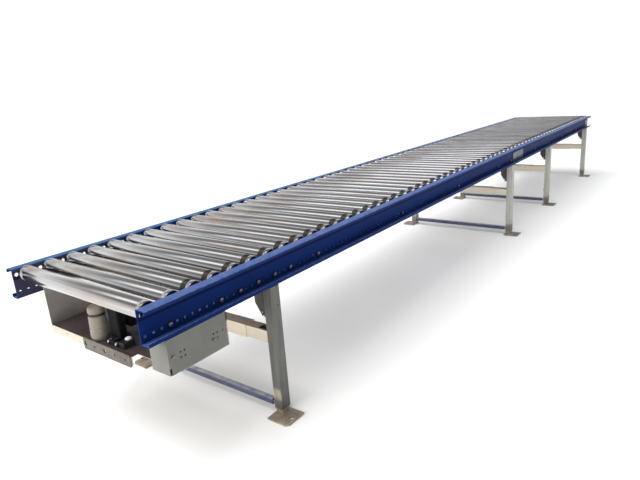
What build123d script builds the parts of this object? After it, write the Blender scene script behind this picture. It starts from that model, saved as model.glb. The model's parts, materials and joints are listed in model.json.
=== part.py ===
from build123d import *
import os

# Belt-driven roller conveyor, 5 m long, on four H-shaped stands.
# Millimetres. +X runs along the bed from the drive end to the tail end, +Y to
# the left rail, +Z up. The origin is on the floor under the middle of the bed.

# ---------------------------------------------------------------- driving sizes
ROLLER_PITCH = 75.0
ROLLER_DIAMETER = 50.0
ROLLER_COUNT = 66
JOINTED_ROLLERS = 18            # rollers that are nodes of their own
NEAR_SECTION = 2875.0           # the rails are joined here
HOLE_PITCH = ROLLER_PITCH / 3
LENGTH = ROLLER_COUNT * ROLLER_PITCH

INNER_WIDTH = 630.0             # clear width between the rail webs
RAIL_HEIGHT = 96.0
RAIL_FLANGE = 34.0
RAIL_THICKNESS = 3.0
RAIL_LIP = 12.0
RAIL_TOP = 536.0                # above the floor
AXLE_DROP = 19.0                # rail top down to the roller axles
BOLT_DROP = 75.0                # rail top down to the bolt holes
AXLE_HOLE_RADIUS = 6.0
BOLT_HOLE_RADIUS = 4.5

TUBE_WALL = 1.5
TUBE_GAP_RIGHT = 5.0            # web to tube end
TUBE_GAP_LEFT = 17.0
AXLE_RADIUS = 5.5

LEG_STATIONS = (450.0, 2700.0, 3575.0, 4800.0)
TIE_STATIONS = (337.5, 562.5, 712.5, 1312.5, 1912.5, 2512.5, 3262.5, 4012.5, 4512.5)
LEG_X = 40.0
LEG_Y = 34.0
LEG_WALL = 2.5
LEG_BOTTOM = 20.0
FOOT_THICKNESS = 6.0
FOOT_X = (-61.0, 23.0)          # plate ends, from the leg's middle
FOOT_OVERHANG = 52.5            # plate past the leg's outer face
FOOT_HOLE_RADIUS = 9.0
ANCHOR_COLLAR_RADIUS = 15.0
BEAM_TOP = 294.0
BEAM_SIZE = 44.0
BEAM_JOINT_Y = -225.0           # where the inner beam enters the sleeve
CROSSBAR_STATIONS = LEG_STATIONS[:3]
CROSSBAR_BOTTOM = 25.0
CROSSBAR_HEIGHT = 22.0
CROSSBAR_DEPTH = 20.0
CROSSBAR_TONGUE = 10.0          # bare length of the tongue at each end

TRAY_STATIONS = (80.0, 276.0)
TRAY_SHEET = 2.5
TRAY_FLOOR = 320.0              # top of the floor sheet
TRAY_LIP = 27.0                 # lip hangs this far below the floor's top
TRAY_WALL_TOP = 484.0
TRAY_NOTCH = (102.0, -125.0)      # the floor's front edge steps back to this station right of this y
TRAY_LIP_END = -268.0           # right end of the rear lip

GUARD_STATIONS = (45.0, 243.0)
GUARD_NOSE_END = 66.0           # the guard is deeper up to this station
GUARD_DEPTH = 74.0              # at the nose
GUARD_HEIGHT = 98.0
GUARD_BOTTOM = RAIL_TOP - RAIL_HEIGHT - GUARD_HEIGHT
GUARD_SHEET = 2.0

DRIVE_STATION = 202.0
TAKE_OFF_STATION = 90.0
DRIVE_Z = 386.5
SHAFT_RADIUS = 7.0
SHAFT_HOLE_RADIUS = 11.0        # in the tray and the guard
DRIVE_PULLEY_RADIUS = 28.0
SNUB_RADIUS = 12.0
TAIL_RADIUS = 18.0
GUARD_PULLEY_RADIUS = 18.0
TAIL_STATION = LEG_STATIONS[-1]

BELT_THICKNESS = 4.0
BELT_WIDTH = 14.0
BELT_Y = -284.0
BELT_TO_ROLLER = 0.8            # running clearance under the rollers
BELT_TO_PULLEY = 1.0            # radial clearance round the pulleys
RETURN_RUN_BOTTOM = 442.5

# ---------------------------------------------------------------- derived sizes
HALF_INNER = INNER_WIDTH / 2
HALF_OUTER = HALF_INNER + RAIL_FLANGE
RAIL_BOTTOM = RAIL_TOP - RAIL_HEIGHT
AXLE_Z = RAIL_TOP - AXLE_DROP
BOLT_Z = RAIL_TOP - BOLT_DROP
ROLLER_RADIUS = ROLLER_DIAMETER / 2
TUBE_RIGHT = -HALF_INNER + TUBE_GAP_RIGHT
TUBE_LEFT = HALF_INNER - TUBE_GAP_LEFT
SIDES = (-1, 1)                 # -1 is the right rail, +1 the left rail


def along(station):
    """X of a place given by its distance from the drive end."""
    return station - LENGTH / 2


def block(x, y, z):
    """A box from three (low, high) pairs."""
    size = [high - low for low, high in (x, y, z)]
    centre = [(low + high) / 2 for low, high in (x, y, z)]
    return Pos(*centre) * Box(*size)


def plate_xz(sketch, y_low, y_high):
    """Extrude a sketch of (x, z) points from y_low to y_high."""
    plane = Plane(origin=(0, y_high, 0), x_dir=(1, 0, 0), z_dir=(0, -1, 0))
    return extrude(plane * sketch, amount=y_high - y_low)


def plate_yz(sketch, x_low, x_high):
    """Extrude a sketch of (y, z) points from x_low to x_high."""
    plane = Plane(origin=(x_low, 0, 0), x_dir=(0, 1, 0), z_dir=(1, 0, 0))
    return extrude(plane * sketch, amount=x_high - x_low)


def round_y(radius, x, z, y_low, y_high):
    """A cylinder along Y."""
    return Pos(x, (y_low + y_high) / 2, z) * Rot(90, 0, 0) * Cylinder(radius, y_high - y_low)


def round_x(radius, y, z, x_low, x_high):
    """A cylinder along X."""
    return Pos((x_low + x_high) / 2, y, z) * Rot(0, 90, 0) * Cylinder(radius, x_high - x_low)


def turned_y(profile, x, z):
    """Turn a closed outline of (radius, y) points about the line along Y at (x, z)."""
    face = make_face(Polyline(*[(r, y, 0) for r, y in profile], close=True))
    return Pos(x, 0, z) * revolve(face, Axis.Y, 360)


def mirrored(shape, side):
    """The right-hand piece as it is, or mirrored for the left side."""
    return shape if side < 0 else mirror(shape, Plane.XZ)


def save(name, *solids):
    """Write one node."""
    group = solids[0] if len(solids) == 1 else Compound(children=list(solids))
    export_step(group, f"parts/{name}.step")


# --------------------------------------------------------------------- fasteners
BOLT_RADIUS = 4.0
BOLT_HEAD = 5.3
NUT_HEIGHT = 6.5
HEX_FLAT_RADIUS = 6.5


def hexagon_y(x, z, y_low, y_high, flat_radius=HEX_FLAT_RADIUS):
    outline = Pos(x, z) * RegularPolygon(flat_radius, 6, major_radius=False)
    return plate_xz(outline, y_low, y_high)


def bolt_y(x, z, head_face, direction, length, nut_face=None):
    """Hex bolt along Y: the head's underside is at head_face, the shank runs
    from there in direction for length, with a nut from nut_face on if given."""
    def span(start, reach):
        return sorted((start, start + reach))

    body = hexagon_y(x, z, *span(head_face, -direction * BOLT_HEAD))
    body += round_y(BOLT_RADIUS, x, z, *span(head_face, direction * length))
    if nut_face is not None:
        body += hexagon_y(x, z, *span(nut_face, direction * NUT_HEIGHT))
    return body


# -------------------------------------------------------------------- side frames
def rail(start, end):
    """Right-hand C-section rail with its rows of axle and bolt holes, open outwards."""
    outer, inner = -HALF_OUTER, -HALF_INNER
    web_outer = inner - RAIL_THICKNESS
    count = round((end - start) / HOLE_PITCH)
    places = [along(start + HOLE_PITCH * (k + 0.5)) for k in range(count)]
    outline = Pos(along((start + end) / 2), (RAIL_TOP + RAIL_BOTTOM) / 2) * Rectangle(end - start, RAIL_HEIGHT)
    holes = [Pos(x, AXLE_Z) * Circle(AXLE_HOLE_RADIUS) for x in places]
    holes += [Pos(x, BOLT_Z) * Circle(BOLT_HOLE_RADIUS) for x in places]
    web = plate_xz(outline - holes, web_outer, inner)
    x = (along(start), along(end))
    flanges = block(x, (outer, web_outer), (RAIL_TOP - RAIL_THICKNESS, RAIL_TOP))
    flanges += block(x, (outer, web_outer), (RAIL_BOTTOM, RAIL_BOTTOM + RAIL_THICKNESS))
    lip = (outer, outer + RAIL_THICKNESS)
    flanges += block(x, lip, (RAIL_TOP - RAIL_LIP, RAIL_TOP))
    flanges += block(x, lip, (RAIL_BOTTOM, RAIL_BOTTOM + RAIL_LIP))
    return web + flanges


SPLICE_HALF_LENGTH = 100.0
SPLICE_Z = (RAIL_BOTTOM + RAIL_THICKNESS + 1, AXLE_Z - 12)
SPLICE_THICKNESS = 4.0
SPLICE_HOLES = (12.5, 62.5)     # from the rail's end


def splice_plate(start, end):
    """Plate on the outer face of the right-hand web, with a row of bolt holes."""
    face = -HALF_INNER - RAIL_THICKNESS
    first = round(start / HOLE_PITCH)
    last = round(end / HOLE_PITCH)
    plate = block((along(start), along(end)), (face - SPLICE_THICKNESS, face), SPLICE_Z)
    for k in range(first, last):
        x = along(HOLE_PITCH * (k + 0.5))
        plate -= round_y(BOLT_HOLE_RADIUS, x, BOLT_Z, face - SPLICE_THICKNESS - 1, face + 1)
    return plate


def splice_bolts():
    outer = -HALF_INNER - RAIL_THICKNESS - SPLICE_THICKNESS
    stations = [NEAR_SECTION + s * d for s in (-1, 1) for d in SPLICE_HOLES]
    stations.append(LENGTH - SPLICE_HOLES[1])
    length = SPLICE_THICKNESS + RAIL_THICKNESS + NUT_HEIGHT + 2
    return [bolt_y(along(s), BOLT_Z, outer, 1, length, -HALF_INNER) for s in stations]


TIE_RADIUS = 8.0
TIE_THREAD = 25.0


def tie_rod(station):
    rod = round_y(TIE_RADIUS, along(station), BOLT_Z, -HALF_INNER, HALF_INNER)
    for side in SIDES:
        ends = sorted((side * HALF_INNER, side * (HALF_INNER - TIE_THREAD)))
        rod -= round_y(BOLT_RADIUS, along(station), BOLT_Z, *ends)
    return rod


def tie_bolts():
    face = -HALF_INNER - RAIL_THICKNESS
    return [bolt_y(along(s), BOLT_Z, face, 1, RAIL_THICKNESS + TIE_THREAD - 2) for s in TIE_STATIONS]


# ------------------------------------------------------------------------ rollers
CAP_RECESS = 2.0
CAP_DEPTH = 12.0
CAP_BORE = 8.2
HUB_RADIUS = 12.5
HUB_REACH = 2.5                 # hub past the tube's end
RING_OFFSETS = (13.0, 17.0)     # crimped ring lines, from each tube end
RING_WIDTH = 1.6
RING_DEPTH = 0.6
SHOULDER_RADIUS = 6.9           # inner bearing ring, fixed on the axle


def axle_x(index):
    return along(ROLLER_PITCH * (index + 0.5))


def tube(index):
    """Steel roller tube with crimped ring lines near both ends."""
    outline = [(ROLLER_RADIUS, TUBE_RIGHT)]
    starts = [TUBE_RIGHT + d for d in RING_OFFSETS]
    starts += [TUBE_LEFT - d - RING_WIDTH for d in reversed(RING_OFFSETS)]
    for y in starts:
        low = ROLLER_RADIUS - RING_DEPTH
        outline += [(ROLLER_RADIUS, y), (low, y), (low, y + RING_WIDTH), (ROLLER_RADIUS, y + RING_WIDTH)]
    outline += [(ROLLER_RADIUS, TUBE_LEFT)]
    outline += [(ROLLER_RADIUS - TUBE_WALL, TUBE_LEFT), (ROLLER_RADIUS - TUBE_WALL, TUBE_RIGHT)]
    return turned_y(outline, axle_x(index), AXLE_Z)


def cap(index, side):
    """Plastic bearing housing pressed into one end of the tube."""
    end = TUBE_RIGHT if side < 0 else TUBE_LEFT
    bore = ROLLER_RADIUS - TUBE_WALL
    profile = [(CAP_BORE, -HUB_REACH), (HUB_RADIUS, -HUB_REACH), (HUB_RADIUS, CAP_RECESS + 2),
               (bore - 3, CAP_RECESS + 2), (bore - 3, CAP_RECESS), (bore, CAP_RECESS),
               (bore, CAP_DEPTH), (CAP_BORE, CAP_DEPTH)]
    return turned_y([(r, end - side * depth) for r, depth in profile], axle_x(index), AXLE_Z)


def roller_axle(index):
    """Fixed steel axle with the two inner bearing rings on it."""
    reach = HALF_INNER + RAIL_THICKNESS + 2
    axle = round_y(AXLE_RADIUS, axle_x(index), AXLE_Z, -reach, reach)
    axle += round_y(SHOULDER_RADIUS, axle_x(index), AXLE_Z, TUBE_RIGHT - 1, TUBE_RIGHT + CAP_DEPTH)
    axle += round_y(SHOULDER_RADIUS, axle_x(index), AXLE_Z, TUBE_LEFT - CAP_DEPTH, TUBE_LEFT + 1)
    return axle


# ------------------------------------------------------------------------- stands
BRACKET_SHEET = 3.0
BRACKET_WING = 55.0             # half the width of the wing on the web
BRACKET_WING_TOP = 478.0
BRACKET_DEPTH = 37.0
BRACKET_BOTTOM = 340.0
BRACKET_BOLTS = 37.5            # wing bolts each side of the leg's middle
STEM_X, STEM_Y = 34.4, 28.4
STEM_WALL = 3.0
STEM_TOP = 150.0
LOCK_BOLT_Z = 110.0
BRACKET_LEG_BOLT_Z = 400.0


def leg(station):
    """Right-hand leg: rectangular tube under the rail, its outer face flush with the flange."""
    x, y = along(station), -HALF_OUTER + LEG_Y / 2
    outline = RectangleRounded(LEG_X, LEG_Y, LEG_WALL) - Rectangle(LEG_X - 2 * LEG_WALL, LEG_Y - 2 * LEG_WALL)
    body = Pos(x, y, LEG_BOTTOM) * extrude(outline, amount=RAIL_BOTTOM - LEG_BOTTOM)
    inner_face = -HALF_INNER
    for z in (BRACKET_LEG_BOLT_Z, LOCK_BOLT_Z):
        body -= round_y(BOLT_RADIUS + 0.2, x, z, inner_face - LEG_WALL - 1, inner_face + 1)
    sight_hole = round_y(2.5, x + 7, RAIL_TOP - 160, -HALF_OUTER - 1, -HALF_OUTER + LEG_WALL + 1)
    return body - sight_hole


def foot(station):
    """Right-hand foot: plate with a raised anchor hole, and the stem that slides into the leg."""
    x, y = along(station), -HALF_OUTER + LEG_Y / 2
    outer = -HALF_OUTER - FOOT_OVERHANG
    low, high = x + FOOT_X[0], x + FOOT_X[1]
    inner = -HALF_INNER - 2
    cut = 11.0
    corners = [(low + cut, outer), (high, outer), (high, inner), (low, inner), (low, outer + cut)]
    plate = extrude(make_face(Polyline(*corners, close=True)), amount=FOOT_THICKNESS)
    anchor = anchor_place(station)
    plate += Pos(*anchor, FOOT_THICKNESS + 1) * Cylinder(ANCHOR_COLLAR_RADIUS, 2)
    plate -= Pos(*anchor, FOOT_THICKNESS / 2) * Cylinder(FOOT_HOLE_RADIUS, 4 * FOOT_THICKNESS)
    stem = Rectangle(STEM_X, STEM_Y) - Rectangle(STEM_X - 2 * STEM_WALL, STEM_Y - 2 * STEM_WALL)
    stem = Pos(x, y, FOOT_THICKNESS) * extrude(stem, amount=STEM_TOP - FOOT_THICKNESS)
    stem -= round_y(BOLT_RADIUS + 0.2, x, LOCK_BOLT_Z, y, -HALF_INNER)
    return plate + stem


def anchor_place(station):
    """(x, y) of the right-hand anchor hole."""
    return along(station) - 21, -HALF_OUTER - 37


def bracket(station):
    """Pressed bracket inside the web and leg: a wing bolted to the rail, two tapered cheeks."""
    x, inner = along(station), -HALF_INNER
    half = LEG_X / 2
    wing = [(x - BRACKET_WING, BRACKET_WING_TOP), (x + BRACKET_WING, BRACKET_WING_TOP),
            (x + BRACKET_WING, RAIL_BOTTOM + 6), (x + half, RAIL_BOTTOM - 20), (x + half, BRACKET_BOTTOM),
            (x - half, BRACKET_BOTTOM), (x - half, RAIL_BOTTOM - 20), (x - BRACKET_WING, RAIL_BOTTOM + 6)]
    body = plate_xz(make_face(Polyline(*wing, close=True)), inner, inner + BRACKET_SHEET)
    for dx in (-BRACKET_BOLTS, BRACKET_BOLTS):
        body -= round_y(BOLT_HOLE_RADIUS, x + dx, BOLT_Z, inner - 1, inner + BRACKET_SHEET + 1)
    body -= round_y(BOLT_HOLE_RADIUS, x, BRACKET_LEG_BOLT_Z, inner - 1, inner + BRACKET_SHEET + 1)
    deep = inner + BRACKET_DEPTH
    cheek = [(inner, RAIL_BOTTOM - 3), (deep, RAIL_BOTTOM - 3), (deep, RAIL_BOTTOM - 58),
             (inner + 10, BRACKET_BOTTOM), (inner, BRACKET_BOTTOM + 7)]
    for edge in (x - half, x + half - BRACKET_SHEET):
        plate = plate_yz(make_face(Polyline(*cheek, close=True)), edge, edge + BRACKET_SHEET)
        plate -= round_x(3, inner + 11, BRACKET_BOTTOM + 13, edge - 1, edge + BRACKET_SHEET + 1)
        body += plate
    return body


def stand_bolts(station):
    """Wing bolts through the web, one bolt into the leg and one that locks the foot's stem."""
    x, inner = along(station), -HALF_INNER
    bolts = []
    for dx in (-BRACKET_BOLTS, BRACKET_BOLTS):
        face = inner - RAIL_THICKNESS
        nut_face = inner + BRACKET_SHEET
        bolts.append(bolt_y(x + dx, BOLT_Z, face, 1, nut_face - face + NUT_HEIGHT + 2, nut_face))
    bolts.append(bolt_y(x, BRACKET_LEG_BOLT_Z, inner + BRACKET_SHEET, -1, BRACKET_SHEET + LEG_WALL + 8))
    bolts.append(bolt_y(x, LOCK_BOLT_Z, inner, -1, LEG_WALL + STEM_WALL + 4))
    return bolts


def box_beam(x_half, z_low, z_high, wall, y_low, y_high, x):
    outline = Pos(x, (z_low + z_high) / 2)
    outside = outline * Rectangle(2 * x_half, z_high - z_low)
    inside = outline * Rectangle(2 * (x_half - wall), z_high - z_low - 2 * wall)
    return plate_xz(outside - inside, y_low, y_high)


def beam_sleeve(station):
    """Outer part of the telescoping upper beam, welded to the left leg."""
    return box_beam(BEAM_SIZE / 2, BEAM_TOP - BEAM_SIZE, BEAM_TOP, 2, BEAM_JOINT_Y, HALF_INNER, along(station))


def beam_inner(station):
    """Inner part of the upper beam, welded to the right leg, its top cut open by the leg."""
    gap = 2.3
    x = along(station)
    half = BEAM_SIZE / 2 - gap
    body = box_beam(half, BEAM_TOP - BEAM_SIZE + gap, BEAM_TOP - gap, 2, -HALF_INNER, BEAM_JOINT_Y + 100, x)
    slot = block((x - 12, x + 12), (-HALF_INNER + 2, -HALF_INNER + 43), (BEAM_TOP - gap - 3, BEAM_TOP))
    return body - slot


def crossbar(station):
    """Lower crossbar: a flat tube between the legs, on a flat tongue at each end."""
    x = along(station) - 8
    z = CROSSBAR_BOTTOM + CROSSBAR_HEIGHT / 2
    outside = RectangleRounded(CROSSBAR_DEPTH, CROSSBAR_HEIGHT, 4)
    inside = RectangleRounded(CROSSBAR_DEPTH - 4, CROSSBAR_HEIGHT - 4, 2)
    bar = plate_xz(Pos(x, z) * (outside - inside), -HALF_INNER + CROSSBAR_TONGUE, HALF_INNER - CROSSBAR_TONGUE)
    for side in SIDES:
        tongue = sorted((side * HALF_INNER, side * (HALF_INNER - 2 * CROSSBAR_TONGUE)))
        bar += block((x - CROSSBAR_DEPTH / 2 + 2, x + CROSSBAR_DEPTH / 2 - 2), tongue, (z - 4, z + 4))
        end = sorted((side * (HALF_INNER - CROSSBAR_TONGUE), side * (HALF_INNER - CROSSBAR_TONGUE - 3)))
        bar += plate_xz(Pos(x, z) * inside, *end)
    return bar


# ------------------------------------------------------------- drive tray and unit
TRAY_BOLT_STATIONS = (87.5, 262.5)


def drive_tray():
    """Pan hung between the rails, open at both ends, with a lip folded down at each end."""
    x = tuple(along(s) for s in TRAY_STATIONS)
    floor = (TRAY_FLOOR - TRAY_SHEET, TRAY_FLOOR)
    body = block(x, (-HALF_INNER, HALF_INNER), floor)
    for side in SIDES:
        wall = sorted((side * HALF_INNER, side * (HALF_INNER - TRAY_SHEET)))
        body += block(x, wall, (TRAY_FLOOR - TRAY_SHEET, TRAY_WALL_TOP))
        for s in TRAY_BOLT_STATIONS:
            body -= round_y(BOLT_HOLE_RADIUS, along(s), BOLT_Z, wall[0] - 1, wall[1] + 1)
    lip = (TRAY_FLOOR - TRAY_LIP, TRAY_FLOOR)
    body += block((x[0], x[0] + TRAY_SHEET), (TRAY_NOTCH[1], HALF_INNER), lip)
    body += block((x[1] - TRAY_SHEET, x[1]), (TRAY_LIP_END, HALF_INNER), lip)
    notch = (-HALF_INNER - 1, TRAY_NOTCH[1])
    body -= block((x[0] - 1, along(TRAY_NOTCH[0])), notch, (TRAY_FLOOR - TRAY_LIP - 1, GUARD_BOTTOM))
    through = (-HALF_INNER - 1, -HALF_INNER + TRAY_SHEET + 1)
    body -= round_y(SHAFT_HOLE_RADIUS, along(DRIVE_STATION), DRIVE_Z, *through)
    take_off = along(TAKE_OFF_STATION)
    body -= round_y(SHAFT_HOLE_RADIUS, take_off, DRIVE_Z, *through)
    body -= block((x[0] - 1, take_off), through, (DRIVE_Z - SHAFT_HOLE_RADIUS, DRIVE_Z + SHAFT_HOLE_RADIUS))
    body -= round_x(3, HALF_INNER - 92, TRAY_FLOOR - 12, x[0] - 1, x[0] + TRAY_SHEET + 1)
    return body


def tray_bolts():
    face = -HALF_INNER - RAIL_THICKNESS
    reach = RAIL_THICKNESS + TRAY_SHEET + NUT_HEIGHT + 2
    inner = -HALF_INNER + TRAY_SHEET
    return [bolt_y(along(s), BOLT_Z, face, 1, reach, inner) for s in TRAY_BOLT_STATIONS]


HOLE_PLATE_THICKNESS = 4.0
HOLE_PLATE_Y = (-123.0, 119.0)
HOLE_PLATE_Z = (286.0, 325.0)


def hole_plate():
    """Punched mounting plate on the front lip of the tray."""
    width = HOLE_PLATE_Y[1] - HOLE_PLATE_Y[0]
    height = HOLE_PLATE_Z[1] - HOLE_PLATE_Z[0]
    centre = (sum(HOLE_PLATE_Y) / 2, sum(HOLE_PLATE_Z) / 2)
    outline = Pos(*centre) * RectangleRounded(width, height, 7)
    outline -= [Pos(y, centre[1] + 1) * Circle(7) for y in (105, 5)]
    outline -= [Pos(y, centre[1]) * Circle(3.5) for y in (58, -45, -97)]
    front = along(TRAY_STATIONS[0])
    return plate_yz(outline, front - HOLE_PLATE_THICKNESS, front)


MOTOR_PLACE = (111.0, 70.0)     # station and y
MOTOR_RADIUS = 30.0             # at its widest, low down
MOTOR_COLLAR_Z = TRAY_FLOOR + 86
GEAR_HEAD_PLACE = (132.0, 4.0)
GEAR_HEAD_DEPTH = 28.0
GEAR_HEAD_WIDTH = 48.0


def turned_z(profile, x, y):
    """Turn a closed outline of (radius, z) points about the upright line at (x, y)."""
    plane = Plane.XZ
    face = plane * make_face(Polyline(*profile, close=True))
    return Pos(x, y, 0) * revolve(face, Axis.Z, 360)


def motor_housing():
    """Upright motor can, a little wider low down, with a seam groove and a turned-down neck."""
    r, z = MOTOR_RADIUS, TRAY_FLOOR
    outline = [(0, z), (r - 4, z), (r - 1, z + 4), (r, z + 14), (r - 1, z + 40), (r - 1.8, z + 40.5),
               (r - 1.8, z + 42), (r - 1.1, z + 42.5), (r - 2.5, z + 76), (r - 3.2, z + 78), (r - 5, z + 78.5),
               (r - 5, z + 85.5), (0, z + 85.5)]
    return turned_z(outline, along(MOTOR_PLACE[0]), MOTOR_PLACE[1])


def motor_collar():
    """Top cover of the motor."""
    r, z = MOTOR_RADIUS - 3, MOTOR_COLLAR_Z
    outline = [(0, z), (r - 1, z), (r, z + 1.5), (r - 0.5, z + 14), (r - 4, z + 19), (0, z + 20)]
    return turned_z(outline, along(MOTOR_PLACE[0]), MOTOR_PLACE[1])


def gear_head():
    """Black gear head beside the motor, standing on its base."""
    outline = Pos(along(GEAR_HEAD_PLACE[0]), GEAR_HEAD_PLACE[1], TRAY_FLOOR + 14)
    return outline * extrude(RectangleRounded(GEAR_HEAD_DEPTH, GEAR_HEAD_WIDTH, 7), amount=112)


CONDUIT_RADIUS = 6.0
CONDUIT_STATION = 99.0
CONDUIT_Y = (GEAR_HEAD_PLACE[1] - 48, GEAR_HEAD_PLACE[1] + 20)
GEAR_BASE_STATIONS = (103.0, 158.0)


def gear_base():
    """Base casting that carries the gear head, with a conduit cast across its front."""
    low, high = GEAR_BASE_STATIONS
    place = Pos(along((low + high) / 2), GEAR_HEAD_PLACE[1], TRAY_FLOOR)
    foot_block = place * extrude(RectangleRounded(high - low, 40, 6), amount=14)
    return foot_block + round_y(CONDUIT_RADIUS, along(CONDUIT_STATION), TRAY_FLOOR + 7, *CONDUIT_Y)


BEVEL_X = (158.0, 232.0)
BEVEL_Y = (-14.0, 38.0)
BEVEL_Z = (DRIVE_Z - 34, DRIVE_Z + 34)


def bevel_box():
    """Right-angle gear case behind the gear head, bored for the drive shaft."""
    body = block(tuple(along(s) for s in BEVEL_X), BEVEL_Y, BEVEL_Z)
    body = fillet(body.edges().filter_by(Axis.Y), 8)
    neck = round_x(16, GEAR_HEAD_PLACE[1], DRIVE_Z, along(GEAR_HEAD_PLACE[0] + GEAR_HEAD_DEPTH / 2), along(BEVEL_X[0]))
    bore = round_y(SHAFT_RADIUS + 1.2, along(DRIVE_STATION), DRIVE_Z, BEVEL_Y[0] - 1, BEVEL_Y[1] - 8)
    return body + neck - bore


def pipe_clamps():
    """Two bright part-round clamps over the conduit in front of the gear head."""
    x, z = along(CONDUIT_STATION), TRAY_FLOOR + 7
    clamps = []
    for y in (GEAR_HEAD_PLACE[1] - 42, GEAR_HEAD_PLACE[1] - 3):
        ring = round_y(9, x, z, y, y + 6) - round_y(CONDUIT_RADIUS, x, z, y - 1, y + 7)
        ring -= block((x - 20, x + 20), (y - 1, y + 7), (z - 20, TRAY_FLOOR))
        ring -= block((x + 3.5, x + 20), (y - 1, y + 7), (z - 20, z + 7.4))
        clamps.append(ring)
    return clamps


JUNCTION_X = (95.0, 135.0)
JUNCTION_Y = (CONDUIT_Y[0] - 26, CONDUIT_Y[0])
JUNCTION_HEIGHT = 20.0


def junction_block():
    """Black junction block on the tray floor."""
    x = tuple(along(s) for s in JUNCTION_X)
    body = block(x, JUNCTION_Y, (TRAY_FLOOR, TRAY_FLOOR + JUNCTION_HEIGHT))
    return fillet(body.edges().filter_by(Axis.Z), 4)


def junction_cap():
    """White round cap on the junction block."""
    x, y, z = along(JUNCTION_X[1] - 13), JUNCTION_Y[1] - 12, TRAY_FLOOR + JUNCTION_HEIGHT
    return turned_z([(0, z), (9, z), (10, z + 1), (9.5, z + 4), (7, z + 6), (0, z + 7)], x, y)


# ---------------------------------------------------------- drive shaft and pulleys
GUARD_FACE = -HALF_OUTER                    # outer side of the guard
GUARD_PULLEY_Y = (GUARD_FACE + 11, GUARD_FACE + 23)
SHAFT_END = GUARD_FACE + 7


def drive_shaft():
    return round_y(SHAFT_RADIUS, along(DRIVE_STATION), DRIVE_Z, SHAFT_END, BEVEL_Y[1] - 10)


def flanged_pulley(x, z, radius, bore, y_low, y_high):
    """Pulley with a shallow channel between two rims."""
    rim = radius + 2.5
    rim_width = 2.0
    outline = [(bore, y_low), (rim, y_low), (rim, y_low + rim_width), (radius, y_low + rim_width),
               (radius, y_high - rim_width), (rim, y_high - rim_width), (rim, y_high), (bore, y_high)]
    return turned_y(outline, x, z)


PULLEY_HALF = BELT_WIDTH / 2 + 1.2 + 2.0    # belt, side clearance and rim


def belt_pulley():
    x = along(DRIVE_STATION)
    return flanged_pulley(x, DRIVE_Z, DRIVE_PULLEY_RADIUS, SHAFT_RADIUS, BELT_Y - PULLEY_HALF, BELT_Y + PULLEY_HALF)


def guard_pulley(station):
    return flanged_pulley(along(station), DRIVE_Z, GUARD_PULLEY_RADIUS, SHAFT_RADIUS, *GUARD_PULLEY_Y)


def take_off_pulley():
    """Guard pulley turned in one piece with its stub shaft, which reaches into the frame."""
    stub = round_y(SHAFT_RADIUS, along(TAKE_OFF_STATION), DRIVE_Z, SHAFT_END, -HALF_INNER + 28)
    return stub + guard_pulley(TAKE_OFF_STATION)


def flange_bearing(station, y_low, y_high):
    """Square flange bearing with a running clearance round its shaft."""
    body = Pos(along(station), DRIVE_Z) * RectangleRounded(42, 42, 8)
    body -= Pos(along(station), DRIVE_Z) * Circle(SHAFT_RADIUS + 0.9)
    return plate_xz(body, y_low, y_high)


TOP_RUN_TOP = AXLE_Z - ROLLER_RADIUS - BELT_TO_ROLLER
TOP_RUN_BOTTOM = TOP_RUN_TOP - BELT_THICKNESS
RETURN_RUN_TOP = RETURN_RUN_BOTTOM + BELT_THICKNESS
UPRIGHT_LEFT = DRIVE_STATION - DRIVE_PULLEY_RADIUS - BELT_TO_PULLEY
UPRIGHT_RIGHT = DRIVE_STATION + DRIVE_PULLEY_RADIUS + BELT_TO_PULLEY
SNUB_WRAP = SNUB_RADIUS + BELT_TO_PULLEY
UPPER_SNUB = (UPRIGHT_LEFT + SNUB_WRAP, TOP_RUN_BOTTOM - SNUB_WRAP)
LOWER_SNUB = (UPRIGHT_RIGHT + BELT_THICKNESS + SNUB_WRAP, RETURN_RUN_BOTTOM - SNUB_WRAP)
TAIL_Z = (TOP_RUN_BOTTOM + RETURN_RUN_TOP) / 2
TAIL_WRAP = (TOP_RUN_BOTTOM - RETURN_RUN_TOP) / 2


def belt_loop(offset):
    """The drive belt's loop in (x, z): offset 0 is its inner side, the thickness its outer side.
    It wraps the drive pulley, the upper snub and the tail pulley, and passes over the lower snub."""
    drive = DRIVE_PULLEY_RADIUS + BELT_TO_PULLEY + offset
    corner = SNUB_WRAP + offset
    inside = SNUB_WRAP + BELT_THICKNESS - offset
    tail = TAIL_WRAP + offset
    left, right = along(DRIVE_STATION) - drive, along(DRIVE_STATION) + drive
    top, low = TOP_RUN_BOTTOM + offset, RETURN_RUN_TOP - offset
    snub_x, snub_z = along(UPPER_SNUB[0]), UPPER_SNUB[1]
    under_x, under_z = along(LOWER_SNUB[0]), LOWER_SNUB[1]
    tail_x = along(TAIL_STATION)
    edges = [
        Line((left, DRIVE_Z), (left, snub_z)),
        CenterArc((snub_x, snub_z), corner, 180, -90),
        Line((snub_x, top), (tail_x, top)),
        CenterArc((tail_x, TAIL_Z), tail, 90, -180),
        Line((tail_x, low), (under_x, low)),
        CenterArc((under_x, under_z), inside, 90, 90),
        Line((right, under_z), (right, DRIVE_Z)),
        CenterArc((along(DRIVE_STATION), DRIVE_Z), drive, 0, -180),
    ]
    return make_face(edges)


def roller_belt():
    ring = belt_loop(BELT_THICKNESS) - belt_loop(0)
    return plate_xz(ring, BELT_Y - BELT_WIDTH / 2, BELT_Y + BELT_WIDTH / 2)


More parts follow.
